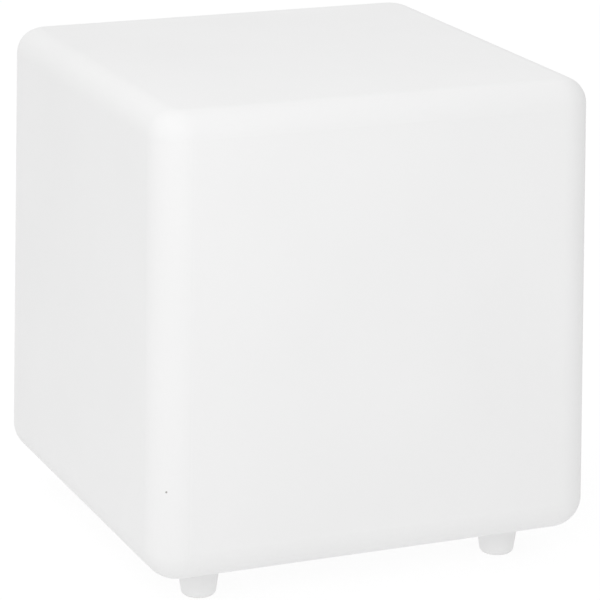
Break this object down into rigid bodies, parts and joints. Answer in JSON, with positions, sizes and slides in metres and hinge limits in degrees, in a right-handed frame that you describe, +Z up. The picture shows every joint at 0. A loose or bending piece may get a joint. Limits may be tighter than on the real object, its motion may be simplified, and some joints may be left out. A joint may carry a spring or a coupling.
{
  "type": "cube light",
  "caption": "Rounded white cube light on short feet, for gardens, with a sealed rechargeable lamp module, push buttons and a charging port in its underside.",
  "frame": {"origin": "on the ground, below the middle of the cube", "axes": "+Z up; -Y is the front, the side over the charging port; +X is to its right"},
  "size_m": [0.399, 0.399, 0.4255],
  "materials": {
    "white_polyethylene": "satin rotation-moulded polyethylene",
    "pale_abs": "fine-textured moulded plastic",
    "clear_plastic": "clear moulded plastic",
    "grey_button": "satin moulded plastic",
    "black_plastic": "moulded plastic",
    "rubber": "matt rubber",
    "brass": "turned brass",
    "stainless": "stainless steel",
    "aluminium": "milled aluminium",
    "white_board": "white solder mask",
    "green_board": "green solder mask",
    "diode": "phosphor in a white frame",
    "capacitor_sleeve": "printed sleeve",
    "cell_sleeve": "shrink sleeve",
    "lead_insulation": "wire insulation"
  },
  "bodies": {
    "cube": {"diffuser_shell": "white_polyethylene", "base_cover": "pale_abs", "module_housing": "pale_abs", "light_dome": "clear_plastic", "light_pipe": "clear_plastic", "battery_holder": "black_plastic", "battery_clamp": "black_plastic", "dc_jack": "black_plastic", "led_connector": "black_plastic", "controller_chip": "black_plastic", "charge_inductor": "black_plastic", "tactile_switches": "black_plastic", "ir_receiver": "black_plastic", "vent_plug": "black_plastic", "flange_gasket": "rubber", "housing_gasket": "rubber", "dome_gasket": "rubber", "wire_grommet": "rubber", "jack_seal": "rubber", "flap_anchor": "rubber", "threaded_inserts": "brass", "flange_screws": "stainless", "housing_screws": "stainless", "led_board_screws": "stainless", "dome_screws": "stainless", "control_board_screws": "stainless", "battery_holder_screws": "stainless", "battery_clamp_screws": "stainless", "battery_contacts": "stainless", "heat_sink": "aluminium", "led_board": "white_board", "control_board": "green_board", "led_chips": "diode", "charge_indicator": "diode", "smoothing_capacitor": "capacitor_sleeve", "battery_cells": "cell_sleeve", "led_leads": "lead_insulation", "battery_leads": "lead_insulation"},
    "power_button": {"power_button": "grey_button", "power_button_seal": "rubber", "power_button_clip": "stainless"},
    "mode_button": {"mode_button": "grey_button", "mode_button_seal": "rubber", "mode_button_clip": "stainless"},
    "port_flap": {"port_flap": "rubber"}
  },
  "joints": [
    {"name": "power_button_press", "type": "slide", "parent": "cube", "child": "power_button", "axis": [0, 0, 1], "range_m": [0, 0.001], "stiffness_N_per_m": 1200, "springref_m": -0.0005},
    {"name": "mode_button_press", "type": "slide", "parent": "cube", "child": "mode_button", "axis": [0, 0, 1], "range_m": [0, 0.001], "stiffness_N_per_m": 1200, "springref_m": -0.0005},
    {"name": "port_flap_hinge", "type": "hinge", "parent": "cube", "child": "port_flap", "pos_m": [0, -0.027, 0.0335], "axis": [-1, 0, 0], "range_deg": [0, 100]}
  ]
}
